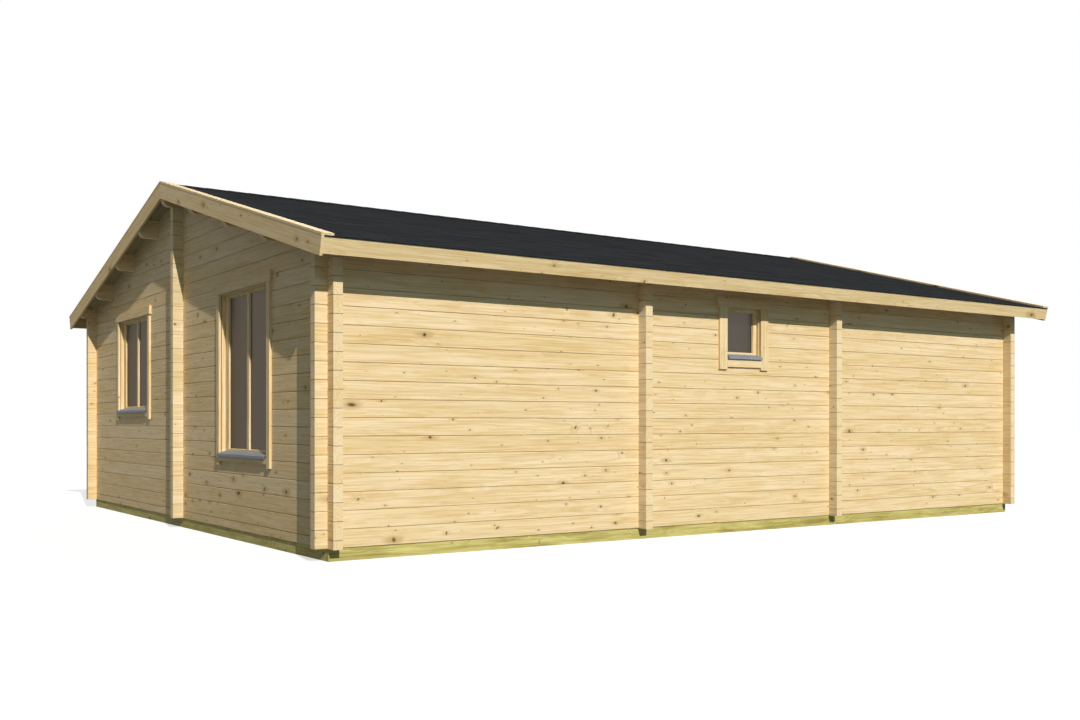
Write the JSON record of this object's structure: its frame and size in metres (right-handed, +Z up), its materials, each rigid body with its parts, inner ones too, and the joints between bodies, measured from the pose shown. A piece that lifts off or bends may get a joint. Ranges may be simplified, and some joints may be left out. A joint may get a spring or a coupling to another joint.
{
  "type": "log cabin",
  "caption": "Log cabin of planed spruce logs crossed at the corners, with a low gable roof, purlins, wide verges, framed windows and a timber floor.",
  "frame": {"origin": "middle of the footprint, on the ground", "axes": "+X along the ridge, +Y from the back to the front, +Z up"},
  "size_m": [8.19, 7.0354, 3.1052],
  "materials": {
    "log_spruce": "planed, untreated",
    "board_spruce": "planed, untreated",
    "joinery_spruce": "planed, untreated",
    "roof_timber": "planed, untreated",
    "floor_timber": "planed, untreated",
    "treated_timber": "pressure treated, greenish",
    "roofing_felt": "mineral felt, anthracite",
    "window_glass": "clear",
    "sill_metal": "blue-grey, satin",
    "handle_steel": "brushed"
  },
  "bodies": {
    "root": {"back_fascia": "board_spruce", "back_purlins": "roof_timber", "back_roof_boards": "roof_timber", "back_roofing": "roofing_felt", "back_wall_logs": "log_spruce", "back_window_frames": "joinery_spruce", "back_window_panes": "window_glass", "back_window_sashes": "joinery_spruce", "back_window_sills": "sill_metal", "back_window_trim": "board_spruce", "floor_boards": "floor_timber", "floor_joists": "floor_timber", "foundation_beams": "treated_timber", "front_door_frame": "joinery_spruce", "front_door_handle": "handle_steel", "front_door_leaf": "joinery_spruce", "front_door_trim": "board_spruce", "front_fascia": "board_spruce", "front_purlins": "roof_timber", "front_roof_boards": "roof_timber", "front_roofing": "roofing_felt", "front_wall_logs": "log_spruce", "left_barge_boards": "board_spruce", "left_cover_strips": "board_spruce", "left_cross_wall_logs": "log_spruce", "left_gable_logs": "log_spruce", "left_middle_wall_logs": "log_spruce", "left_window_frames": "joinery_spruce", "left_window_panes": "window_glass", "left_window_sashes": "joinery_spruce", "left_window_sills": "sill_metal", "left_window_trim": "board_spruce", "ridge_purlin": "roof_timber", "right_barge_boards": "board_spruce", "right_cover_strips": "board_spruce", "right_cross_wall_logs": "log_spruce", "right_gable_logs": "log_spruce", "right_middle_wall_logs": "log_spruce", "right_window_frames": "joinery_spruce", "right_window_panes": "window_glass", "right_window_sashes": "joinery_spruce", "right_window_sills": "sill_metal", "right_window_trim": "board_spruce"}
  },
  "joints": []
}
